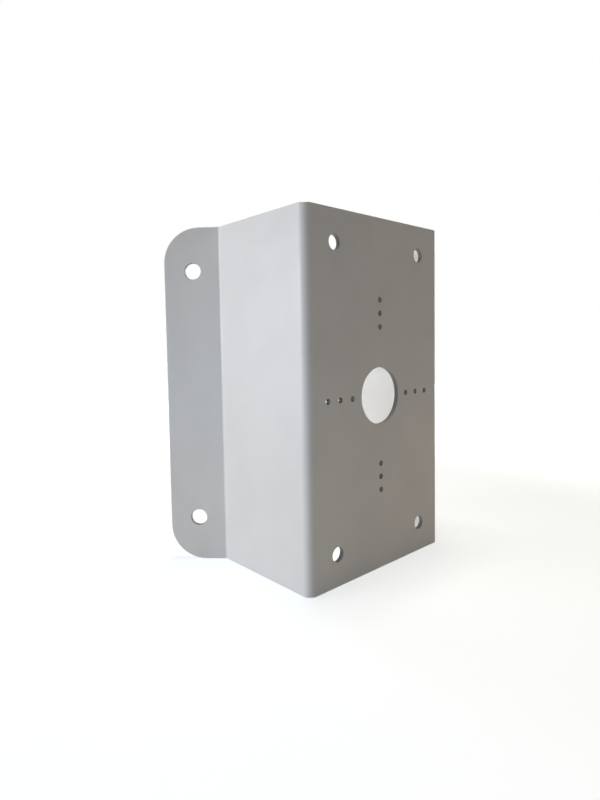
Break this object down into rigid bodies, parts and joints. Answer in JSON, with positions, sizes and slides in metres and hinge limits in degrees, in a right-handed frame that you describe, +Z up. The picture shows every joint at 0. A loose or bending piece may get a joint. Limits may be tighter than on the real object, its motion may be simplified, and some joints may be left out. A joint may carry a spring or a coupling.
{
  "type": "camera mount bracket",
  "caption": "Folded sheet steel corner bracket: a drilled front plate carries a camera's arm, side walls stand it off, and flared wings screw to the faces of an outside building corner.",
  "frame": {"origin": "middle of the bracket's bounding box in plan, on the lower edge it stands on", "axes": "+Z up along the folds; -Y out of the front plate, where the camera's arm goes; +Y towards the building; +X to the right as seen from behind the front plate's outer side"},
  "size_m": [0.1714, 0.1038, 0.21],
  "materials": {
    "powder_coat": "off-white powder coat over the whole steel sheet, fine orange peel, satin"
  },
  "bodies": {
    "root": {"bracket": "powder_coat"}
  },
  "joints": []
}
